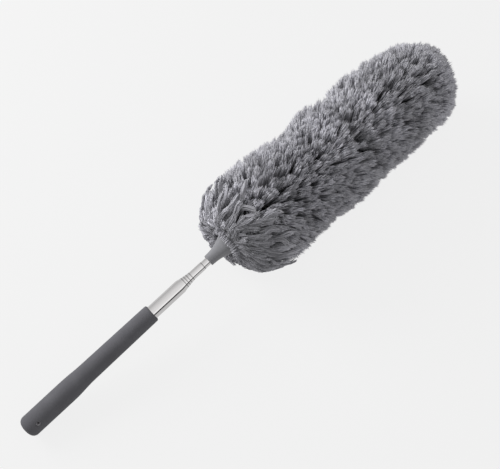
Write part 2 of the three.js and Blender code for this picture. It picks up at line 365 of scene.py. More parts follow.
def innerMaterial(name, look):
    dark, light, metallic, rough, scale = look[name]
    start, shader, material = newMaterial(name, Metallic=metallic)
    cloud = noise(start, alongPole(start, look["cloudStretch"]), scale, look["details"][0])
    fine = noise(start, alongPole(start, look["fineStretch"]), scale * look["finer"], look["details"][1])
    tone = weighted(look["shares"], cloud=cloud, fine=fine)
    feed(start, shader, Base_Color=colourRamp(start, tone, tuple(zip(look["edges"], (dark, light)))),
         Roughness=rough + tone * look["roughTone"], Normal=bump(start, fine, *look["bump"]))
    return material


gripRubber = gripRubberMaterial(rubber, hole)
collarPlastic = collarPlasticMaterial(satin)
pileMicrofibre = pileMaterial(fibre)
innerPlastic = innerMaterial("innerPlastic", innerLook)
softSteel = innerMaterial("softSteel", innerLook)
springBronze = innerMaterial("springBronze", innerLook)
backingFabric = innerMaterial("backingFabric", innerLook)
print("materials made")

# Camera where the photograph was taken from
photoView = {
    "place": (-0.262344, -0.269013, 0.900133),
    "turn": (23.4225, -0.6578, -42.7198),
    "lens": 50.4, "sensor": 36, "nearest": 0.01,
}
deselectAll()
bpy.ops.object.camera_add(location=photoView["place"],
                          rotation=[math.radians(a) for a in photoView["turn"]])
camera = bpy.context.object
camera.data.sensor_fit = "HORIZONTAL"
camera.data.sensor_width = photoView["sensor"]
camera.data.lens = photoView["lens"]
camera.data.clip_start = photoView["nearest"]
bpy.context.scene.camera = camera

# Grip: closed round butt, thicker palm half, waist, rounded mouth and blind bore, in mm from the butt
grip = {
    "length": 208, "buttRadius": 14.3, "buttRound": 7.0, "buttFlat": 0.6, "buttRings": 14,
    "swellAt": 68, "swell": 14.4, "palmRings": (16, 60, 5), "sideSwell": 0.35,
    "waistAt": 100, "waist": 12.9, "waistRings": 15, "foreRings": (120, 140, 160, 180, 195),
    "mouth": 12.1, "mouthRound": 2.6, "mouthArc": (88, 6, 10),
    "endWall": 23, "bore": 9.35, "boreEdge": 0.3, "boreFrom": 20, "boreSkin": 0.1,
    "steps": 128, "smooth": 28,
}


def gripProfile(g):
    flat = g["buttRadius"] - g["buttRound"]
    path = [(0, 0), (0, g["buttFlat"] * flat)]
    path += roundCorner(g["buttRound"], flat, g["buttRound"], 180, 90, g["buttRings"])
    for along in np.linspace(*g["palmRings"]):
        share = (along - g["buttRound"]) / (g["swellAt"] - g["buttRound"])
        path.append((along, between(g["buttRadius"], g["swell"], smoothStep(share))))
    for share in np.linspace(0, 1, g["waistRings"]):
        along = between(g["swellAt"], g["waistAt"], share)
        path.append((along, between(g["swell"], g["waist"], smoothStep(share))))
    for along in g["foreRings"]:
        share = (along - g["waistAt"]) / (g["length"] - g["waistAt"])
        path.append((along, between(g["waist"], g["mouth"], share)))
    corner = g["mouthRound"]
    path += roundCorner(g["length"] - corner, g["mouth"] - corner, corner, *g["mouthArc"])
    path += [(g["length"], g["bore"] + g["boreEdge"]), (g["length"] - g["boreEdge"], g["bore"]),
             (g["endWall"], g["bore"]), (g["endWall"], 0)]
    return path


# The palm half stands out a little more on the finger side; the bore stays round
def swellAside(piece, g):
    for vertex in piece.data.vertices:
        share = min(max((vertex.co.x / mm - g["swellAt"]) / (g["waistAt"] - g["swellAt"]), 0), 1)
        outside = math.hypot(vertex.co.y, vertex.co.z) > (g["bore"] + g["boreSkin"]) * mm
        if outside or vertex.co.x < g["boreFrom"] * mm:
            vertex.co.y -= g["sideSwell"] * mm * (1 - smoothStep(share))


def cutWith(piece, cutter):
    pick(piece)
    modifier = piece.modifiers.new("cut", "BOOLEAN")
    modifier.operation = "DIFFERENCE"
    modifier.solver = "EXACT"
    modifier.object = cutter
    bpy.ops.object.modifier_apply(modifier=modifier.name)
    discard(cutter)


def makeGrip(g, h):
    piece = turnedPiece("grip_rubber", gripProfile(g), g["steps"])
    swellAside(piece, g)
    across = (math.radians(h["turn"]), 0, 0)
    deselectAll()
    bpy.ops.mesh.primitive_cylinder_add(vertices=h["sides"], radius=h["radius"] * mm, depth=h["cut"] * mm,
                                        location=(h["at"] * mm, 0, 0), rotation=across)
    cutWith(piece, bpy.context.object)
    for side in (1, -1):  # a cone sinks the rim at each end
        deselectAll()
        wide = 2 * h["rim"] * mm
        bpy.ops.mesh.primitive_cone_add(vertices=h["rimSides"], radius1=0 if side > 0 else wide,
                                        radius2=wide if side > 0 else 0, depth=2 * h["sink"] * mm)
        cutter = bpy.context.object
        outward = Matrix.Rotation(across[0], 4, "X") @ Vector((0, 0, side * g["buttRadius"] * mm, 1))
        cutter.rotation_euler = across
        cutter.location = Vector((h["at"] * mm, 0, 0)) + outward.to_3d()
        cutWith(piece, cutter)
    layAt(piece, buttPlace, layout["tilt"])
    smoothByAngle(piece, g["smooth"])
    useMaterial(piece, gripRubber)
    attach(piece, "handle")
    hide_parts("grip_sleeve")


makeGrip(grip, hole)
print("grip made")

# Pole stages, largest first, each with a drawn-in mouth and, inside another, a rolled neck
pole = {
    "radius": (9.1, 7.25, 6.75, 6.25, 5.75, 5.25),
    "wall": (0.4, 0.3, 0.3, 0.3, 0.3, 0.3),
    "rear": (25.5, 35.0, 47.06, 59.12, 88.18, 108.24),
    "mouth": (264.0, 267.5, 271.1, 275.6, 295.6, 315.6),
    "drawnIn": (9.0, 3.0, 3.0, 3.0, 3.0, 0.0),
    "mouthFit": 0.06, "mouthRings": 12,
    "lipLand": 0.9, "lipRound": 0.3, "lipInset": 0.05, "lipArc": (80, 10, 6),
    "rearLip": 1.0, "roll": 10.16, "rollDepth": 0.3, "rollRamp": 0.4, "steps": 112, "smooth": 32,
    "bodies": ("handle", "stage_2", "stage_3", "stage_4", "stage_5", "stage_6"),
}


def stageProfile(p, i):
    radius, wall, rear, front = p["radius"][i], p["wall"][i], p["rear"][i], p["mouth"][i]
    outer = [(rear, radius)]
    if i:
        roll = rear + p["rearLip"]
        outer += [(roll - p["rollRamp"], radius), (roll, radius - p["rollDepth"]),
                  (roll + p["roll"], radius - p["rollDepth"]), (roll + p["roll"] + p["rollRamp"], radius)]
    inner = [(along, r - wall) for along, r in outer][::-1]
    if p["drawnIn"][i]:
        start = front - p["drawnIn"][i]
        lip = p["radius"][i + 1] + p["mouthFit"]
        for share in np.linspace(0, 1, p["mouthRings"]):
            along = start + (p["drawnIn"][i] - p["lipLand"]) * share
            outer.append((along, between(radius, lip + wall, smoothStep(share))))
        corner = p["lipRound"]
        outer += roundCorner(front - corner, lip + wall - corner - p["lipInset"], corner, *p["lipArc"])
        inner = [(front, lip), (start, radius - wall)] + inner
    else:
        outer.append((front, radius))
        inner = [(front, radius - wall)] + inner
    return outer + inner + [outer[0]]


def makeStages(p):
    for i, body in enumerate(p["bodies"]):
        piece = turnedPiece(f"steel_stage_{i + 1}", stageProfile(p, i), p["steps"])
        layAt(piece, buttPlace, layout["tilt"])
        smoothByAngle(piece, p["smooth"])
        useMaterial(piece, poleSteelMaterial(steel, i + 1, p["mouth"][i]))
        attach(piece, body)
        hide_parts(f"tube_{i + 1}")


makeStages(pole)
print("pole stages made")

# Trumpet collar between the pole and the head
collar = {
    "at": 304.4, "length": 37.2, "lip": 7.8, "lipRound": 0.9, "lipArc": (178, 92, 6),
    "straight": (0.46, 0.2), "flare": (0.58, 0.64), "rings": 26,
    "rim": 17.2, "rimRound": 1.4, "rimEdge": (0.35, 0.25),
    "skirt": 5.5, "skirtEnd": 318.2, "studBore": 3.45, "studEnd": 329.2,
    "coreBore": 6.25, "coreSocket": 9.3, "steps": 96, "smooth": 34,
}


def collarProfile(c):
    front = c["at"] + c["length"]
    curve = np.array([(c["at"] + c["lipRound"], c["lip"]),
                      (c["at"] + c["straight"][0] * c["length"], c["lip"] + c["straight"][1]),
                      (c["at"] + c["flare"][0] * c["length"], c["flare"][1] * c["rim"]),
                      (front - c["rimRound"], c["rim"])])
    path = [(c["studEnd"], 0), (c["studEnd"], c["studBore"]), (c["skirtEnd"], c["studBore"]),
            (c["skirtEnd"], c["skirt"]), (c["at"], c["skirt"])]
    path += roundCorner(c["at"] + c["lipRound"], c["lip"] - c["lipRound"], c["lipRound"], *c["lipArc"])
    path += [tuple(cubic(curve, t)) for t in np.linspace(0, 1, c["rings"])]
    path += [(front - c["rimEdge"][0], c["rim"] - c["rimEdge"][1]), (front, c["rim"] - c["rimRound"]),
             (front, c["coreBore"]), (front - c["coreSocket"], c["coreBore"]), (front - c["coreSocket"], 0)]
    return path


def makeCollar(c):
    piece = turnedPiece("collar_plastic", collarProfile(c), c["steps"])
    layAt(piece, buttPlace, layout["tilt"])
    smoothByAngle(piece, c["smooth"])
    useMaterial(piece, collarPlastic)
    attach(piece, "stage_6")
    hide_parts("head_collar")


makeCollar(collar)
print("collar made")

# Pile of the head, in mm from the neck: round ends, broad rings and spiral lobes, tufts of strands
pile = {
    "radius": 72.0, "fullness": 1.2, "backCentre": 60.0, "frontCentre": 337.6, "first": -6.9, "last": 409.6,
    "taper": 1.5, "taperMiddle": 165.0,
    "ringDepth": 1.8, "ringPitch": 118.0, "ringFrom": 68.0,
    "lobeDepth": 1.6, "lobePitch": 74.0, "lobeFrom": 113.0, "lobeTurn": 26.5,
    # swells on each side of the head, by their turn in degrees: along, height, width
    "swells": {
        17.0: ((20.0, 2.0, 10.0), (52.0, 1.5, 6.0), (80.0, 4.5, 8.0), (130.0, -2.5, 9.0),
               (145.0, -4.6, 11.0), (165.0, -2.5, 14.0), (190.0, 2.2, 8.0), (212.0, -5.0, 9.0),
               (231.0, 3.5, 7.0), (235.0, -4.6, 11.0), (265.0, 4.7, 22.0), (290.0, -2.0, 7.0),
               (304.0, 4.2, 15.0), (335.0, -4.6, 11.0), (365.0, 2.2, 22.0)),
        48.0: ((406.0, 6.0, 11.0),),
        197.0: ((2.0, 2.0, 14.0), (40.0, 3.0, 15.0), (112.0, 3.0, 8.0), (174.0, 3.2, 18.0),
                (245.0, -3.6, 11.0), (251.0, 6.0, 12.0), (306.0, -4.6, 11.0), (325.0, -3.6, 11.0),
                (332.0, 3.0, 9.0)),
    },
    "swellTurn": 48.0,
    # painted light and shade: paler and darker patches of strand tone: along, turn in degrees, change of
    # tone, width
    "patches": (
        (-12.0, -42.0, 0.3, 14.0), (-10.0, 46.0, 0.36, 16.0), (-5.0, 105.0, -0.45, 16.0),
        (38.0, 82.0, 0.75, 10.0), (40.0, 50.0, -0.45, 12.0), (30.0, 116.0, -0.45, 12.0),
        (2.0, 155.0, -0.3, 12.0), (25.0, 165.0, 0.3, 10.0), (175.0, 88.0, 0.45, 12.0),
        (231.0, 84.0, 0.2, 12.0), (254.0, 112.0, 0.35, 12.0), (345.0, 185.0, 0.6, 20.0),
        (380.0, 60.0, 0.4, 22.0), (375.0, 105.0, 0.3, 18.0), (380.0, 150.0, 0.3, 22.0),
    ),
    "patchTurn": 34.0,
    # creases between the lobes, deepest on top and below; their strands get painted shade
    "creases": (76.0, 203.0, 281.0, 334.0), "creaseDepth": 12.0, "creaseWidth": 8.0, "creaseEdge": 5.0,
    "creaseTurn": 107.0, "creaseReach": 0.6, "creaseShade": 0.85, "sunkShade": 0.06,
    # how the tufts stand: lean toward the tip, fall to the sides of the first lobe, swing
    "leanFirst": 0.86, "leanLobe": 0.28, "leanSide": 0.36, "leanTip": 0.15, "leanScatter": 0.1,
    "overhang": 0.1, "overhangReach": 14.0, "fall": 0.5,
    "swing": 3.2, "baseSwing": 0.6, "swingLength": 40.0,
    "clumps": 12, "clumpSwing": 1.4, "clumpPitch": (11.0, 26.0), "unevenness": 2.2, "scatter": 2.2,
    # base of the head: hollow for the collar, tilted, hanging, sunk under the locks
    "hollowDepth": 42.0, "hollowRadius": 22.0, "baseTilt": 6.5, "baseDroop": 9.0, "droopTurn": 315.0,
    "baseBluntness": 2.8, "leastGirth": 0.0002, "basePush": 26.0, "baseRise": 5.0,
    "baseWide": 1.25, "baseThin": 0.6, "baseFlat": 4.0,
    "underLocks": 5.0, "locksTo": 66.0, "locksFade": 40.0,
    # roots on the backing and the run of each tuft from there
    "rootRadius": 10.2, "rootFirst": 5.0, "rootLast": 344.0,
    "rootLag": 40.0, "rootRun": 0.32, "tipRun": 0.36,
    # strands in each tuft, with their spread and frizz at the four points of their curve
    "tufts": 3400, "strandsPerTuft": 19, "tuftWide": 4.0, "tuftThin": 2.2, "tuftDome": 2.6, "ragged": 1.2,
    "spread": (0.1, 0.35, 0.75, 1.1), "frizz": 0.9, "frizzShares": (0.0, 0.4, 0.7, 1.0), "leastRise": 0.5,
    "twist": 0.45, "tuftTone": (0.5, 0.13), "strandTone": 0.08, "rootTone": 0.01, "baseRootTone": 0.2,
    "strandWidth": 1.5, "strandThickness": 0.55,
    "rings": ((0.0, 0.3), (0.33, 0.65), (0.66, 1.0), (0.93, 0.85)),
    "mapWidth": (0.01, 0.004), "mapTip": 0.99,
    "slices": (62.0, 187.0), "mostTriangles": 185000, "floorSoftness": 2.0, "seed": 11,
}
toneRange = (0.02, 0.98)  # of a strand in its map
triangleSize = (1.73, 1.5)  # width and height of a triangle in a circle of radius 1


# One strand, modelled from listed rings: a flat three-sided rod, widest near its point
def makeStrand(p):
    deselectAll()
    bpy.ops.mesh.primitive_circle_add(vertices=3, radius=p["rings"][0][1], fill_type="NGON")
    strand = bpy.context.object
    bpy.ops.object.mode_set(mode="EDIT")
    for (low, wide), (high, wider) in zip(p["rings"], p["rings"][1:]):
        bpy.ops.mesh.extrude_region_move(TRANSFORM_OT_translate={"value": (0, 0, high - low)})
        bpy.ops.transform.resize(value=(wider / wide, wider / wide, 1))
    bpy.ops.mesh.extrude_region_move(TRANSFORM_OT_translate={"value": (0, 0, 1 - p["rings"][-1][0])})
    bpy.ops.mesh.merge(type="CENTER")
    bpy.ops.mesh.select_all(action="SELECT")
    bpy.ops.mesh.quads_convert_to_tris()
    bpy.ops.mesh.normals_make_consistent(inside=False)
    bpy.ops.object.mode_set(mode="OBJECT")
    points = np.array([v.co for v in strand.data.vertices])
    faces = np.array([f.vertices for f in strand.data.polygons])
    discard(strand)
    return points, faces


# A soft spot on the head, 1 in its middle
def softSpot(along, turn, at, side, wide, wideTurn):
    apart = np.degrees(np.angle(np.exp(1j * (turn - math.radians(side)))))
    return np.exp(-((along - at) / wide) ** 2 - (apart / wideTurn) ** 2)


def headReach(p, along, turn):
    ring = p["ringDepth"] * np.cos(2 * np.pi * (along - p["ringFrom"]) / p["ringPitch"])
    spiral = 2 * np.pi * (along - p["lobeFrom"]) / p["lobePitch"] - turn + math.radians(p["lobeTurn"])
    taper = p["taper"] * (1 - along / p["taperMiddle"])
    reach = p["radius"] + p["fullness"] + ring + p["lobeDepth"] * np.cos(spiral) + taper
    for side, swells in p["swells"].items():
        for at, height, wide in swells:
            reach = reach + height * softSpot(along, turn, at, side, wide, p["swellTurn"])
    return reach


# Change of strand tone by the patches of the pile: painted light and shade
def paintedLightAndShade(p, along, turn):
    tone = np.zeros(len(along))
    for at, side, change, wide in p["patches"]:
        tone += change * softSpot(along, turn, at, side, wide, p["patchTurn"])
    return tone


# The head's middle line is rounded off at both ends: nearest centre, share past it and girth
def roundEnds(p, along):
    centre = np.clip(along, p["backCentre"], p["frontCentre"])
    over = (along - centre) / p["radius"]
    blunt = np.where(over < 0, p["baseBluntness"], 2)
    return centre, over, np.maximum(1 - np.abs(over) ** blunt, p["leastGirth"]) ** (1 / blunt)


# How far back the base stands at each turn: tilted to one side, hanging below
def baseBack(p, turn):
    droop = p["baseDroop"] * np.maximum(np.cos(turn - math.radians(p["droopTurn"])), 0)
    return p["baseTilt"] * np.cos(turn) + droop


# Neighbouring tufts swing together: waves over the surface, as (along, round) in mm
def clumpSwing(p, random, along, turn):
    field = np.zeros((2, len(along)))
    for _ in range(p["clumps"]):
        pitch, way = random.uniform(*p["clumpPitch"]), random.uniform(0, 2 * np.pi)
        cycles = round(math.sin(way) * 2 * np.pi * p["radius"] / pitch)
        phase = math.cos(way) * 2 * np.pi * along / pitch + cycles * turn
        field += p["clumpSwing"] * np.sin(phase + random.uniform(0, 2 * np.pi, (2, 1)))
    return field


def roundTheCore(along, radius, turn):
    return np.stack([along, radius * np.cos(turn), radius * np.sin(turn)], -1)


def unit(vectors):
    return vectors / np.linalg.norm(vectors, axis=-1, keepdims=True)


# Middle lines of the tufts: root, first bend, second bend and tip, and the way each tuft points
def growTufts(p, random):
    count = p["tufts"]
    pitch = (p["last"] - p["first"]) / count
    along = p["first"] + (np.arange(count) + random.random(count)) * pitch
    turn = np.arange(count) * np.pi * (3 - 5 ** 0.5) + random.normal(0, p["scatter"], count) / p["radius"]
    centre, over, girth = roundEnds(p, along)
    base, end = smoothStep(np.clip(-over, 0, 1)), smoothStep(np.clip(over, 0, 1))
    past = np.stack([along - at for at in p["creases"]])
    crease = np.exp(-np.maximum(past, 0) / p["creaseWidth"])
    crease = (crease * smoothStep(np.clip(past / p["creaseEdge"] + 0.5, 0, 1))).sum(0)
    crease *= np.abs(np.cos(turn - math.radians(p["creaseTurn"]))) ** p["creaseReach"]
    overhang = (np.exp(np.minimum(past, 0) / p["overhangReach"]) * (past < 0)).sum(0) - crease
    reach = headReach(p, along, turn) - p["creaseDepth"] * crease
    sunk = np.abs(random.normal(0, p["unevenness"], count))
    covered = smoothStep(np.clip((p["locksTo"] - along) / p["locksFade"], 0, 1))
    reach = reach - sunk - p["underLocks"] * covered
    hollow = p["hollowDepth"] * np.exp(-(girth * reach / p["hollowRadius"]) ** 2) * (over < 0)
    tip = roundTheCore(centre + over * reach + hollow - baseBack(p, turn) * base, girth * reach, turn)

    # strands lie flat round the collar, stand up along the sides and lean toward the tip
    firstEnd = p["creases"][0]
    firstLobe = smoothStep(np.clip((firstEnd - along) / (firstEnd - p["first"]), 0, 1))
    inFirst = past[0] < 0
    lean = np.where(inFirst, between(p["leanLobe"], p["leanFirst"], firstLobe), p["leanSide"])
    lean = lean + p["overhang"] * overhang + (p["leanTip"] - p["leanSide"]) * end
    lean = lean + random.normal(0, p["leanScatter"], count)
    heading = unit(roundTheCore(over * (1 - lean) + girth * lean, girth * (1 - lean) - over * lean, turn))
    outside = roundTheCore(over, girth, turn)
    roundWay = roundTheCore(np.zeros(count), np.ones(count), turn + np.pi / 2)
    axialWay = roundTheCore(girth, -over, turn)
    together = clumpSwing(p, random, along, turn)[:, :, None]
    swing = random.normal(0, p["swing"], (count, 3)) + axialWay * together[0] + roundWay * together[1]
    swing *= between(1, p["baseSwing"], base[:, None])
    swing -= outside * (swing * outside).sum(1, keepdims=True)
    fall = -np.cos(turn) * p["fall"] * inFirst
    heading = unit(heading + swing / p["swingLength"] + roundWay * fall[:, None])
    tip = tip + swing

    # roots crowd toward both ends of the backing
    back = (p["backCentre"] - p["rootFirst"]) / (p["backCentre"] - p["first"])
    front = (p["rootLast"] - p["frontCentre"]) / (p["last"] - p["frontCentre"])
    rootAlong = centre + over * p["radius"] * np.where(over < 0, back, front)
    rootAlong = rootAlong - p["rootLag"] * lean * (over == 0)
    rootRadius = p["rootRadius"] * np.where(over > 0, girth, 1)
    root = roundTheCore(np.clip(rootAlong, p["rootFirst"], p["rootLast"]), rootRadius, turn)
    length = np.linalg.norm(tip - root, axis=1, keepdims=True)
    outward = roundTheCore(over * (over > 0), np.where(over > 0, girth, 1.0), turn)
    first = root + outward * (length * p["rootRun"] + p["baseRise"] * base[:, None])
    first[:, 0] -= p["basePush"] * base
    second = tip - heading * length * p["tipRun"]
    # painted shade in the creases and on sunk tufts, with the painted light and shade of the patches
    shade = p["creaseShade"] * crease + p["sunkShade"] * sunk - paintedLightAndShade(p, tip[:, 0], turn)
    return (root, first, second, tip), heading, outside, roundWay, base, shade


# Every strand as the four points of its curve, its flat way, tone, tone at the root and place along
def growStrands(p, random):
    middles, heading, outside, roundWay, base, shade = growTufts(p, random)
    count, each = p["tufts"], p["strandsPerTuft"]
    sideways = unit(random.normal(size=(count, 3)) + roundWay * p["baseFlat"] * base[:, None])
    sideways = unit(sideways - heading * (sideways * heading).sum(1, keepdims=True))
    flatways = np.cross(heading, sideways)
    spread = np.sqrt(random.random((count, each)))
    angle = random.random((count, each)) * 2 * np.pi
    wideTuft = p["tuftWide"] * between(1, p["baseWide"], base[:, None])
    thinTuft = p["tuftThin"] * between(1, p["baseThin"], base[:, None])
    offset = (spread * np.cos(angle) * wideTuft)[..., None] * sideways[:, None]
    offset = offset + (spread * np.sin(angle) * thinTuft)[..., None] * flatways[:, None]
    frizz = random.normal(0, p["frizz"], (count, each, 3))
    shorter = p["tuftDome"] * spread ** 2 + np.abs(random.normal(0, p["ragged"], (count, each)))
    # the ends of a leaning tuft still follow the surface of the head
    rise = (offset * outside[:, None]).sum(-1) * (1 - base[:, None])
    shorter += rise / np.maximum((heading * outside).sum(1), p["leastRise"])[:, None]
    lines = np.stack([middle[:, None] + offset * share + frizz * frizzShare
                      for middle, share, frizzShare in zip(middles, p["spread"], p["frizzShares"])])
    lines[3] -= heading[:, None] * shorter[..., None]
    tuftTone = random.normal(*p["tuftTone"], (count, 1)) - shade[:, None]
    tone = np.clip(tuftTone + random.normal(0, p["strandTone"], (count, each)), *toneRange)
    across = unit(sideways[:, None] + random.normal(0, p["twist"], (count, each, 3)))
    # the painted shade toward the root starts paler on the base
    rootTone = np.repeat(p["rootTone"] + p["baseRootTone"] * np.minimum(2 * base, 1), each)
    tipAlong = np.repeat(middles[3][:, 0], each)
    return lines.reshape(4, -1, 3), across.reshape(-1, 3), tone.ravel(), rootTone, tipAlong


# Long locks that fan out from the collar's rim and lie flat over the base
locks = {
    "count": 330, "strands": 22, "rim": ((-2.0, 13.0), (-9.0, 19.5)), "last": 110.0, "samples": 80,
    "start": 66.0, "startCrowd": 1.5, "length": (22.0, 44.0), "wide": (1.6, 4.0),
    "taper": (0.6, 1.0, 1.0, 0.6), "dome": 2.0, "domeShare": (0.3, 1.0),
    "lift": (-4.2, -1.2), "tipLift": 0.9, "sunk": 7.0,
    "swirl": 9.0, "fall": 16.0, "wave": 2.0, "waveShares": (0.0, 1.0, 1.0, 1.4),
    "ragged": 3.8, "frizz": 0.65, "frizzShares": (0.3, 1.0, 1.0, 1.5), "twist": 0.35,
    "tone": (0.32, 0.13), "strandTone": 0.06, "rootTone": 0.4, "paleRoots": 0.5, "seed": 5,
}


# Four points along each lock, with the way outward there, on the meridian of its own turn
def lockSpine(p, k, start, length, turn, drift, lift):
    along = np.linspace(p["first"], k["last"], k["samples"])
    centre, over, girth = roundEnds(p, along)
    reach = headReach(p, along, turn)
    base = smoothStep(np.clip(-over, 0, 1))
    x = np.append([place for place, _ in k["rim"]], centre + over * reach - baseBack(p, turn) * base)
    r = np.append([radius for _, radius in k["rim"]], girth * reach)
    way = np.append(0, np.cumsum(np.hypot(np.diff(x), np.diff(r))))
    shares = np.linspace(0, 1, 4)
    at = start + length * shares
    here, ahead = (np.stack([np.interp(at + step, way, x), np.interp(at + step, way, r)])
                   for step in (-1, 1))
    dx, dr = (ahead - here) / np.linalg.norm(ahead - here, axis=0)
    turns = turn + drift * shares
    outward = roundTheCore(-dr, dx, turns)
    place = roundTheCore(np.interp(at, way, x), np.interp(at, way, r), turns)
    return place + outward * np.array([-k["sunk"], lift, lift, k["tipLift"] * lift])[:, None], outward


# The four points of a curve that passes through four places at even steps
def curveThrough(p0, p1, p2, p3):
    afterFirst = (-5 * p0 + 18 * p1 - 9 * p2 + 2 * p3) / 6
    beforeLast = (2 * p0 - 9 * p1 + 18 * p2 - 5 * p3) / 6
    return np.stack([p0, afterFirst, beforeLast, p3])


def growLocks(p, k):
    random = np.random.default_rng(k["seed"])
    count, each = k["count"], k["strands"]
    turn = (np.arange(count) + random.random(count)) * 2 * np.pi / count
    drift = np.radians(random.normal(0, k["swirl"], count) - k["fall"] * np.cos(turn))
    start = k["start"] * random.random(count) ** k["startCrowd"]
    length, wide, lift = (random.uniform(*k[key], count) for key in ("length", "wide", "lift"))
    spines, outward = zip(*[lockSpine(p, k, *row) for row in zip(start, length, turn, drift, lift)])
    spines, outward = np.array(spines), np.array(outward)
    heading = unit(spines[:, 3] - spines[:, 2])
    sideways = unit(np.cross(outward, unit(np.gradient(spines, axis=1))))
    spines += sideways * random.normal(0, k["wave"], (count, 4, 1)) * np.array(k["waveShares"])[:, None]

    across = random.uniform(-1, 1, (count, each))
    spread = (across * wide[:, None])[:, :, None] * np.array(k["taper"])
    rise = k["dome"] * (1 - across ** 2) * random.uniform(*k["domeShare"], (count, each))
    place = spines[:, None] + sideways[:, None] * spread[..., None]
    place += outward[:, None] * rise[..., None, None]
    place += random.normal(0, k["frizz"], place.shape) * np.array(k["frizzShares"])[:, None]
    shorter = np.abs(random.normal(0, k["ragged"], (count, each))) + k["ragged"] * across ** 2
    place[:, :, 3] -= heading[:, None] * shorter[..., None]
    lines = curveThrough(*np.moveaxis(place, 2, 0).reshape(4, -1, 3))
    tone = random.normal(*k["tone"], (count, 1)) + random.normal(0, k["strandTone"], (count, each))
    patch = paintedLightAndShade(p, spines[:, 1:3, 0].mean(1), turn + drift / 2)
    tone += patch[:, None]
    flat = np.repeat(sideways[:, 2], each, axis=0) + random.normal(0, k["twist"], (count * each, 3))
    # lock roots are paler where a patch paints light
    rootTone = np.repeat(k["rootTone"] + k["paleRoots"] * np.maximum(patch, 0), each)
    return lines, unit(flat), np.clip(tone, *toneRange).ravel(), rootTone, np.zeros(count * each)


# Short strands that hook back over the collar's rim, as (along, radius) of the curve's four points
cuff = {
    "tufts": 120, "strands": 9, "curve": ((-2.0, 13.0), (-1.0, 24.0), (-10.0, 23.0), (-13.0, 18.6)),
    "wide": 3.0, "scatter": (0.5, 1.5, 1.5, 1.5), "strandScatter": 0.6,
    "tone": (0.25, 0.12), "strandTone": 0.08, "rootTone": 0.3, "seed": 3,
}


def growCuff(c):
    random = np.random.default_rng(c["seed"])
    count, each = c["tufts"], c["strands"]
    turn = (np.arange(count) + random.random(count)) * 2 * np.pi / count
    shift = random.normal(0, 1, (2, count, 1)) + c["strandScatter"] * random.normal(0, 1, (2, count, each))
    turns = turn[:, None] + random.normal(0, c["wide"], (count, each)) / c["curve"][-1][1]
    lines = []
    for (along, radius), scatter in zip(c["curve"], c["scatter"]):
        lines.append(roundTheCore(along + scatter * shift[0], radius + scatter * np.abs(shift[1]), turns))
    lines = np.stack(lines).reshape(4, -1, 3)
    tone = random.normal(*c["tone"], (count, 1)) + random.normal(0, c["strandTone"], (count, each))
    across = roundTheCore(np.zeros((count, each)), np.ones((count, each)), turns + np.pi / 2)
    rootTone = np.full(count * each, c["rootTone"])
    return lines, across.reshape(-1, 3), np.clip(tone, *toneRange).ravel(), rootTone, np.zeros(count * each)


# Bends copies of the strand along their curves into one mesh with its strand map
def pileMesh(name, p, strand, lines, across, tone, rootTone):
    points, faces = strand
    t = points[:, 2][None, :, None]
    a, b, c, d = lines[:, :, None]
    spine = cubic((a, b, c, d), t)
    tangent = unit((b - a) * (1 - t) ** 2 + (c - b) * 2 * t * (1 - t) + (d - c) * t * t)
    side = unit(across[:, None] - tangent * (across[:, None] * tangent).sum(-1, keepdims=True))
    flat = np.cross(tangent, side)
    body = spine + side * (points[:, 0] * p["strandWidth"] / triangleSize[0])[None, :, None]
    body += flat * (points[:, 1] * p["strandThickness"] / triangleSize[1])[None, :, None]
    place = body.reshape(-1, 3) * mm + np.array(layout["neck"])
    soft = p["floorSoftness"] * mm
    place[:, 2] = soft * np.logaddexp(0, place[:, 2] / soft)  # pressed flat where it lies on the floor
    count, size = len(across), len(points)
    corners = (faces[None] + (np.arange(count) * size)[:, None, None]).reshape(-1, 3)

    mesh = bpy.data.meshes.new(name)
    mesh.vertices.add(len(place))
    mesh.vertices.foreach_set("co", place.astype(np.float32).ravel())
    mesh.loops.add(corners.size)
    mesh.loops.foreach_set("vertex_index", corners.astype(np.int32).ravel())
    mesh.polygons.add(len(corners))
    mesh.polygons.foreach_set("loop_start", np.arange(0, corners.size, 3, dtype=np.int32))
    mesh.update(calc_edges=True)
    mesh.polygons.foreach_set("use_smooth", np.ones(len(corners), dtype=bool))
    # a strand's map is narrow but never without area
    wide, thick = p["mapWidth"]
    acrossMap = points[:, 0] / np.abs(points[:, 0]).max() * wide + points[:, 1] * thick
    strandMap = np.empty((count, size, 2))
    strandMap[..., 0] = np.clip(tone[:, None] + acrossMap[None], 0, 1)
    strandMap[..., 1] = between(rootTone[:, None], p["mapTip"], points[:, 2][None])
    layer = mesh.uv_layers.new(name="OFBake")
    layer.uv.foreach_set("vector", strandMap.reshape(-1, 2)[corners.ravel()].astype(np.float32).ravel())
    piece = bpy.data.objects.new(name, mesh)
    bpy.context.scene.collection.objects.link(piece)
    return piece


# Each slice of the head: its label, the part it stands in for, the bodies on either side of its joint of
# the core, and two places in mm from the neck round that joint
pileSlices = (
    ("near", "pile_root", "stage_6", "head_root", -28.0, 42.0),
    ("middle", "pile_middle", "head_root", "head_middle", 84.0, 166.0),
    ("far", "pile_tip", "head_middle", "head_tip", 209.0, 291.0),
)


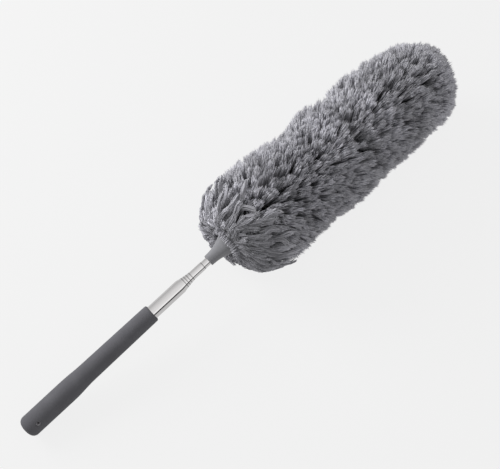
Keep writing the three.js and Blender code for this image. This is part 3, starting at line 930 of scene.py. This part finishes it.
def makePile(p, k, c):
    strand = makeStrand(p)
    kinds = growStrands(p, np.random.default_rng(p["seed"])), growLocks(p, k), growCuff(c)
    lines = np.concatenate([kind[0] for kind in kinds], axis=1)
    across, tone, rootTone, along = (np.concatenate(rows) for rows in zip(*[kind[1:] for kind in kinds]))
    sliceOf = np.searchsorted(np.array(p["slices"]), along)
    turn = np.arctan2(lines[3, :, 2], lines[3, :, 1])
    for i, (label, node, before, after, bendFrom, bendTo) in enumerate(pileSlices):
        chosen = np.flatnonzero(sliceOf == i)
        chosen = chosen[np.argsort(turn[chosen], kind="stable")]
        parts = math.ceil(len(chosen) * len(strand[1]) / p["mostTriangles"])
        for n, share in enumerate(np.array_split(chosen, parts)):
            piece = pileMesh(f"pile_{label}_{n + 1}", p, strand, lines[:, share], across[share],
                             tone[share], rootTone[share])
            useMaterial(piece, pileMicrofibre)
            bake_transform(piece)
            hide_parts(node)
    print("pile strands", len(along))


makePile(pile, locks, cuff)

# Fabric backing that carries the strands, one sleeve for each stretch of the core
backing = {
    "radius": 11.0, "bore": 6.6, "closedEnd": 340.0, "endTaper": 3.6, "endRings": 9,
    "steps": 40, "smooth": 40,
    "stretches": (("root", 3.0, 122.0), ("middle", 128.0, 247.0), ("tip", 253.0, 336.6)),
}


def makeBacking(b):
    taper = b["endTaper"]  # room for the bends
    narrow = b["radius"] - taper
    for label, start, stop in b["stretches"]:
        path = [(start, b["bore"]), (start, narrow), (start + taper, b["radius"])]
        if label == "tip":
            path = [(b["closedEnd"], 0), (b["closedEnd"], b["bore"])] + path
            path += roundCorner(stop, 0, b["radius"], 90, 0, b["endRings"])
        else:
            path += [(stop - taper, b["radius"]), (stop, narrow), (stop, b["bore"]), path[0]]
        piece = turnedPiece(f"pile_backing_{label}", path, b["steps"])
        layAt(piece, layout["neck"])
        smoothByAngle(piece, b["smooth"])
        useMaterial(piece, backingFabric)
        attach(piece, f"head_{label}")


makeBacking(backing)
print("backing made")

# Hidden parts keep their solids and get their finishes
for name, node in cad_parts.items():
    if name.startswith("friction_spring"):
        useMaterial(node, springBronze)
    elif name.startswith("core_wire") or name == "tip_stud":
        useMaterial(node, softSteel)
    elif name.startswith("core_") or name == "rear_plug":
        useMaterial(node, innerPlastic)

# Pale floor that glows evenly where the camera sees it, and less toward the object
floorLook = {"size": 14.0, "diffuse": 0.06, "rough": 0.9, "seen": 0.83, "bounce": 0.54}


def makeFloor(f):
    deselectAll()
    bpy.ops.mesh.primitive_plane_add(size=f["size"])
    floor = bpy.context.object
    floor.name = "floor"
    start, shader, material = newMaterial(
        "paleFloor", Base_Color=(*grey(f["diffuse"]), 1), Roughness=f["rough"], Specular_IOR_Level=0.0,
        Emission_Strength=1.0)
    seen = start.node("ShaderNodeLightPath")
    feed(start, shader,
         Emission_Color=mixColours(start, seen, (*grey(f["bounce"]), 1), (*grey(f["seen"]), 1)))
    useMaterial(floor, material)


makeFloor(floorLook)
print("floor made")

# Soft studio light: a large lamp from the upper left of the picture and a sky in bands round the pole
studio = {
    "keyFrom": (-0.6, 1.62, 0.88), "keyAim": (0.0, 0.0, 0.06), "keySize": 1.1, "keyPower": 36.0,
    "seen": 0.86,
    "soft": ((0.0, 0.46), (0.25, 0.46), (0.5, 0.5), (0.75, 0.46), (1.0, 0.46)),
    "mirrored": ((0.0, 0.4), (0.25, 0.46), (0.34, 0.56), (0.48, 0.76), (0.6, 0.84), (0.625, 1.0),
                 (0.665, 1.0), (0.676, 0.03), (0.722, 0.03), (0.735, 0.5), (1.0, 0.45)),
}


def makeLamp(s):
    deselectAll()
    bpy.ops.object.light_add(type="AREA", location=s["keyFrom"])
    lamp = bpy.context.object
    aim = Vector(s["keyAim"]) - Vector(s["keyFrom"])
    lamp.rotation_euler = aim.to_track_quat("-Z", "Y").to_euler()
    lamp.data.shape = "DISK"
    lamp.data.size = s["keySize"]
    lamp.data.energy = s["keyPower"]
    lamp.visible_glossy = False
    lamp.visible_camera = False


# The steel mirrors a sky of its own, and the camera sees a plain one
def makeSky(s):
    world = bpy.data.worlds.new("studio")
    bpy.context.scene.world = world
    world.use_nodes = True
    sky = Shade(world.node_tree)
    _, sideways, upward = axesOf(sky, sky.node("ShaderNodeTexCoord", out=0))
    angle = sky.maths("ARCTAN2", sideways * -1, upward) / (2 * math.pi) + 0.5
    soft, mirrored = (colourRamp(sky, angle, [(place, grey(level)) for place, level in s[key]])
                      for key in ("soft", "mirrored"))
    seen = sky.node("ShaderNodeLightPath")
    glossy = Shade(sky.tree, seen.socket.node.outputs["Is Glossy Ray"])
    level = mixColours(sky, seen, mixColours(sky, glossy, soft, mirrored), (*grey(s["seen"]), 1))
    world.node_tree.links.new(level.socket, world.node_tree.nodes["Background"].inputs["Color"])


makeLamp(studio)
makeSky(studio)
bpy.context.scene.view_settings.view_transform = "Standard"
print("studio made")
